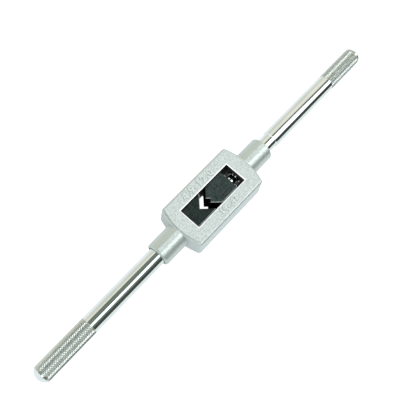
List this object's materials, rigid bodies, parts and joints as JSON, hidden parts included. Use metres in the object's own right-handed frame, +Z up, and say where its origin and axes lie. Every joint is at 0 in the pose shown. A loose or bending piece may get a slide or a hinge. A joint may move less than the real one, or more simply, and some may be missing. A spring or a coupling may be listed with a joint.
{
  "type": "adjustable tap wrench",
  "caption": "Adjustable tap wrench: cast frame with a through window, fixed vee jaw, sliding notched jaw moved by turning one handle, straight handles with knurled ends.",
  "frame": {"origin": "axis of the tap's square as the jaws stand at rest, where it meets the plane the frame rests on", "axes": "+X along the handles towards the turning screw handle, +Z up along the tap's axis out of the marked face"},
  "size_m": [0.3801, 0.0432, 0.0212],
  "materials": {
    "cast_body": "satin blasted zinc die casting, light grey",
    "black_jaw": "hardened steel, black oxide, ground faces",
    "plated_handle": "bright nickel-chrome plated steel",
    "pin_steel": "plain ground steel"
  },
  "bodies": {
    "frame": {"frame": "cast_body", "fixed_jaw": "black_jaw", "fixed_jaw_pin": "pin_steel", "fixed_handle": "plated_handle", "fixed_handle_pin": "pin_steel"},
    "moving_jaw": {"moving_jaw": "black_jaw", "screw_retaining_pins": "pin_steel"},
    "screw_handle": {"screw_handle": "plated_handle"}
  },
  "joints": [
    {"name": "jaw_slide", "type": "slide", "parent": "frame", "child": "moving_jaw", "axis": [1, 0, 0], "range_m": [-0.00684, 0.0076]},
    {"name": "handle_turn", "type": "hinge", "parent": "moving_jaw", "child": "screw_handle", "pos_m": [0.05, 0, 0.0106], "axis": [1, 0, 0], "range_deg": [-1407.2, 1563.5]}
  ],
  "couplings": [
    {"joint": "handle_turn", "follows": "jaw_slide", "rad_per_m": 3590.4}
  ]
}
